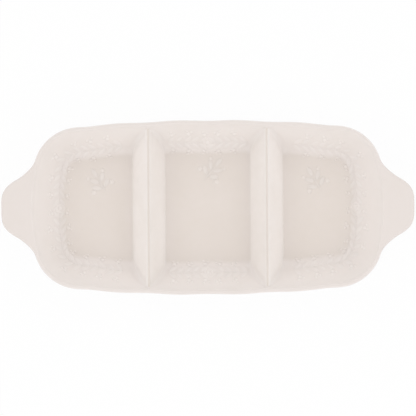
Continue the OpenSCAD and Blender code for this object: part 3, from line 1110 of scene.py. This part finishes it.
# %% The tree that lays a garland: leaves and berries
branch = add(lay, "GeometryNodeMeshToCurve", {"Mesh": ports["Mesh"]})
spaced = add(lay, "GeometryNodeResampleCurve", {"Curve": branch, "Length": ports["Spacing"]},
             mode="LENGTH")
knots = add(lay, "GeometryNodeCurveToPoints", {"Curve": spaced}, mode="EVALUATED")
ahead = add(lay, "FunctionNodeAlignRotationToVector", {"Vector": knots.node.outputs["Tangent"]},
            axis="X", pivot_axis="Z")
growth = random_value(ports["Smallest"], ports["Largest"], growth_seed)
growth_size = add(lay, "ShaderNodeCombineXYZ",
                  {0: growth, 1: growth * Wire(lay, ports["Across"]), 2: growth})
every_other = Wire(lay, add(lay, "GeometryNodeInputIndex", {})).then("MODULO", 2)
yaw = add(lay, "ShaderNodeCombineXYZ",
          {2: random_value(Wire(lay, ports["Turn"]) * -1, ports["Turn"], turn_seed)})
leaves = add(lay, "GeometryNodeRotateInstances",
             {"Instances": planted("Leaves", knots, Rotation=ahead, Scale=growth_size),
              "Rotation": yaw})
berries = planted("Berries", knots, Selection=every_other, Rotation=ahead, Scale=growth_size)

# %% The tree that lays a garland: bosses, sprigs and stems
bosses = planted("Boss", ports["Mesh"], Selection=mark(lay, "boss"))
sprigs = planted("Sprig", ports["Mesh"], Selection=mark(lay, "sprig"),
                 Rotation=add(lay, "ShaderNodeCombineXYZ", {2: mark(lay, "heading")}))
stem_ring = add(lay, "GeometryNodeCurvePrimitiveCircle",
                {"Resolution": stem_sides, "Radius": ports["Stem radius"]})
stems = add(lay, "GeometryNodeCurveToMesh", {"Curve": branch, "Profile Curve": stem_ring,
                                             "Fill Caps": True})
layout = lay.nodes.new("GeometryNodeJoinGeometry")
for part in (stems, bosses, sprigs, berries, leaves):
    lay.links.new(part, layout.inputs[0])
garland = add(lay, "GeometryNodeRealizeInstances", {"Geometry": layout.outputs[0]})
print("nodes for the layout:", len(lay.nodes))

# %% The tree that lays a garland: onto the wall
# Painted shade along the outline of every shape, less of the wall's painted shade on raised tops,
# and painted light that grows with height above the wall
edge_shade, top_shade_share, edge_lift, highlight_lift = 0.25, 0.65, 0.12 * mm, 3 * mm
x, y, z = add(lay, "ShaderNodeSeparateXYZ",
              {0: add(lay, "GeometryNodeInputPosition", {})}).node.outputs
lift = Wire(lay, z)
over = add(lay, "ShaderNodeCombineXYZ", {0: x, 1: y, 2: ports["Height above"]})


def landed(label, kind):
    """What the well carries under a point, found by a ray straight down"""
    return add(lay, "GeometryNodeRaycast",
               {"Target Geometry": copied("Well"), "Attribute": mark(lay, label, kind),
                "Source Position": over, "Ray Direction": (0, 0, -1), "Ray Length": 1},
               data_type=kind).node.outputs


landing = landed("smooth_normal", "FLOAT_VECTOR")
on_wall = add(lay, "ShaderNodeVectorMath",
              {0: landing["Attribute"], 1: lift, 2: landing["Hit Position"]},
              operation="MULTIPLY_ADD")
well_pooled_and_shaded, well_lit_and_thin = (Wire(lay, landed(label, "FLOAT")["Attribute"])
                          for label in ("pooled", "thin"))
risen = clamp(lift / edge_lift)
garland = keep(lay, garland, "FLOAT",
               pooled=clamp(well_pooled_and_shaded * mix(1, top_shade_share, risen) + (1 - risen) * edge_shade),
               thin=clamp(well_lit_and_thin + lift / highlight_lift), risen=risen)
garland = keep(lay, garland, "FLOAT_VECTOR", wall_normal=landing["Attribute"])
garland = add(lay, "GeometryNodeSetPosition", {"Geometry": garland, "Position": on_wall})
finish_tree(lay, garland, ports["Glaze"])
print("nodes in the layer of garlands:", len(lay.nodes))


# %% Grow the garlands
def soften(mesh):
    """Lets the shading of a relief run out into the wall's, as if the glaze covered both"""
    faces, points = corners_of(mesh)
    flat = read(mesh.polygons, "normal", 3)[faces]
    wall = read(mesh.attributes["wall_normal"].data, "vector", 3)
    risen = read(mesh.attributes["risen"].data, "value", 1)[:, None]
    outward = ((flat * wall[points]).sum(1) > 0)[:, None]
    pull = np.zeros_like(wall)
    np.add.at(pull, points, flat * outward * read(mesh.polygons, "area", 1)[faces][:, None])
    soft = unit(wall * (1 - risen) + unit(pull) * risen)
    mesh.normals_split_custom_set(np.where(outward, soft[points], flat).tolist())
    return int((risen > 0.5).sum())


garlands = {}
for side, plan in plans.items():
    garlands[side] = grow(side + "_garland", plan, lay,
                          {**stamps, "Well": body_pieces[side + "_well"], "Glaze": glaze})
    places = read(garlands[side].data.vertices, "co", 3)
    print("  box", places.min(0).round(4), places.max(0).round(4),
          "raised points", soften(garlands[side].data))
for helper in stamps.values():
    bpy.data.objects.remove(helper)

# %% [markdown]
# ## The foot rings
# A tray this wide would rock on a flat base, so it stands on three low rings, ground bare of
# glaze after firing. Each is a band with softened edges that follows a rounded path. A sweep
# is the natural way to make it: Curve to Mesh carries one section along the path.

# %% Paths of the foot rings
ring_band, ring_soft = 3.6 * mm, 0.7 * mm
small_r, large_r = 9 * mm, 14 * mm
turn_steps, soft_steps = 16, 4


def ring_path(x0, x1, y1, r0, r1):
    """A closed plan path in the middle of the band, with one corner radius at each end"""
    inset_by = ring_band / 2
    x0, x1, y1, r0, r1 = x0 + inset_by, x1 - inset_by, y1 - inset_by, r0 - inset_by, r1 - inset_by
    points = []
    for x, y, r, start in ((x1 - r1, y1 - r1, r1, 0), (x0 + r0, y1 - r0, r0, 1),
                           (x0 + r0, r0 - y1, r0, 2), (x1 - r1, r1 - y1, r1, 3)):
        for k in range(turn_steps + 1):
            t = math.pi / 2 * (start + k / turn_steps)
            points.append((x + r * math.cos(t), y + r * math.sin(t), foot_high[2] / 2))
    return new_mesh("ring_path", points,
                    [(k, (k + 1) % len(points)) for k in range(len(points))], [])


paths = {
    "right_foot_ring": ring_path(foot_low[0], foot_high[0], foot_high[1], small_r, large_r),
    "left_foot_ring": ring_path(-foot_high[0], -foot_low[0], foot_high[1], large_r, small_r),
    "centre_foot_ring": ring_path(-middle_foot_high[0], middle_foot_high[0],
                                  middle_foot_high[1], small_r, small_r)}
print("points in a ring's path:", len(paths["right_foot_ring"].vertices))

# %% The tree that sweeps a ring
sweep, ports = new_tree("sweep_a_ring", {"Band": ring_band, "Height": foot_high[2],
                                         "Soft edge": ring_soft}, [("Clay", "Material")])
line = add(sweep, "GeometryNodeMeshToCurve", {"Mesh": ports["Mesh"]})
line = add(sweep, "GeometryNodeSetCurveNormal", {"Curve": line}, mode="Z_UP")
section = add(sweep, "GeometryNodeCurvePrimitiveQuadrilateral",
              {"Width": ports["Band"], "Height": ports["Height"]}, mode="RECTANGLE")
section = add(sweep, "GeometryNodeFilletCurve",
              {"Curve": section, "Count": soft_steps, "Radius": ports["Soft edge"]}, mode="POLY")
band = add(sweep, "GeometryNodeCurveToMesh", {"Curve": line, "Profile Curve": section})
finish_tree(sweep, band, ports["Clay"])
foot_pieces = {}
for name, mesh in paths.items():
    foot_pieces[name] = grow("ground_" + name, mesh, sweep, {"Clay": clay})
    places = read(foot_pieces[name].data.vertices, "co", 3)
    print("  box", places.min(0).round(5), places.max(0).round(5))

# %% [markdown]
# ## Stage, light and camera
# White porcelain on white needs a light tent: light from all sides, a little less from
# straight above, where the camera looks in. Then floors read darker than slopes, and the
# shape shows without hard shadows. The floor is white to the camera and keeps a faint
# shadow.

# %% The light tent
plain_level, band_level, band_place, band_spread = 0.54, 0.74, 0.58, 0.3
right_gain, back_loss = 0.01, 0.035
tent = bpy.data.worlds.new("light_tent")
scene.world = tent
tent.use_nodes = True
tree = tent.node_tree
tree.nodes.clear()
direction = add(tree, "ShaderNodeSeparateXYZ",
                {0: add(tree, "ShaderNodeTexCoord", {}, "Generated")}).node.outputs
sideways, forward, up = (Wire(tree, output) for output in direction)
off_band = (up - band_place) / band_spread
tent_level = (plain_level + (off_band * off_band * -1).then("EXPONENT") * band_level
              + sideways * right_gain - forward * back_loss)
light = add(tree, "ShaderNodeBackground", {"Color": (1, 1, 1, 1), "Strength": tent_level})
paper = add(tree, "ShaderNodeBackground", {"Color": (1, 1, 1, 1), "Strength": 1})
seen = add(tree, "ShaderNodeLightPath", {}, "Is Camera Ray")
shown_world = add(tree, "ShaderNodeMixShader", {0: seen, 1: light, 2: paper})
tree.links.new(shown_world, tree.nodes.new("ShaderNodeOutputWorld").inputs[0])
print("nodes in the tent:", len(tree.nodes))

# %% The paper floor
floor_half, paper_white, fibre_size = 4, 0.95, 2.5 * mm
darkest, palest = (0.93, 0.93, 0.93, 1), (0.97, 0.97, 0.97, 1)
floor_mesh = new_mesh("paper_floor", [(x * floor_half, y * floor_half, 0) for x, y in (
    (-1, -1), (1, -1), (1, 1), (-1, 1))], [], [(0, 1, 2, 3)])
placed("paper_floor", floor_mesh)
paper_material = bpy.data.materials.new("white_paper")
paper_material.use_nodes = True
floor_mesh.materials.append(paper_material)
tree = paper_material.node_tree
shader = tree.nodes["Principled BSDF"]
shader.inputs["Roughness"].default_value = 0.9
fibre = noise(tree, add(tree, "ShaderNodeTexCoord", {}, "Object"), 1 / fibre_size, 3)
plug(tree, shader.inputs["Base Color"], tint(tree, fibre, darkest, palest))
rays = tree.nodes.new("ShaderNodeLightPath").outputs
bright = larger(larger(Wire(tree, rays["Is Camera Ray"]), rays["Is Glossy Ray"]),
                rays["Is Transmission Ray"])
white = add(tree, "ShaderNodeEmission", {"Color": (1, 1, 1, 1), "Strength": 1})
lit = add(tree, "ShaderNodeMixShader", {0: bright * paper_white, 1: shader.outputs[0], 2: white})
clear = add(tree, "ShaderNodeBsdfTransparent", {})
behind = add(tree, "ShaderNodeNewGeometry", {}, "Backfacing")
sheet_of_paper = add(tree, "ShaderNodeMixShader", {0: behind, 1: lit, 2: clear})
tree.links.new(sheet_of_paper, tree.nodes["Material Output"].inputs["Surface"])
print("nodes in the paper:", len(tree.nodes))

# %% A soft lamp from the front left
lamp_data = bpy.data.lights.new("soft_box", "AREA")
lamp_data.shape, lamp_data.size, lamp_data.energy = "DISK", 0.9, 0.4
lamp = placed("soft_box", lamp_data)
lamp.location = (-0.4, -1.4, 1.2)
lamp.rotation_euler = (-lamp.location).to_track_quat("-Z", "Y").to_euler()
print(f"the lamp stands {lamp.location.length:.2f} m away")

# %% The camera
# It looks straight down from so high that the walls hardly lean.
camera_height, view_half = 2.6, 191.3 * mm
aim_x, aim_y, turn = 0.15 * mm, -0.57 * mm, math.radians(-0.39)
widest_z = tray.rim_z - tray.rim_r - handle_dip
camera_data = bpy.data.cameras.new("camera")
camera = placed("camera", camera_data)
scene.camera = camera
camera.location = (aim_x, aim_y, widest_z + camera_height)
camera.rotation_euler = (0, 0, turn)
camera_data.angle = 2 * math.atan(view_half / camera_height)
scene.view_settings.view_transform = "Standard"
print("camera:", tuple(camera.location), "field of view", math.degrees(camera_data.angle))

# %% [markdown]
# ## The skins take the solids' places
# Each skin of the body and feet rides on the tray's one body and stands for its own node, whose
# solid is hidden; the garlands ride along.

# %% Ride and replace
for name, piece in {**body_pieces, **foot_pieces}.items():
    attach(piece, "root")
    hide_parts(name)

for piece in garlands.values():
    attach(piece, "root")
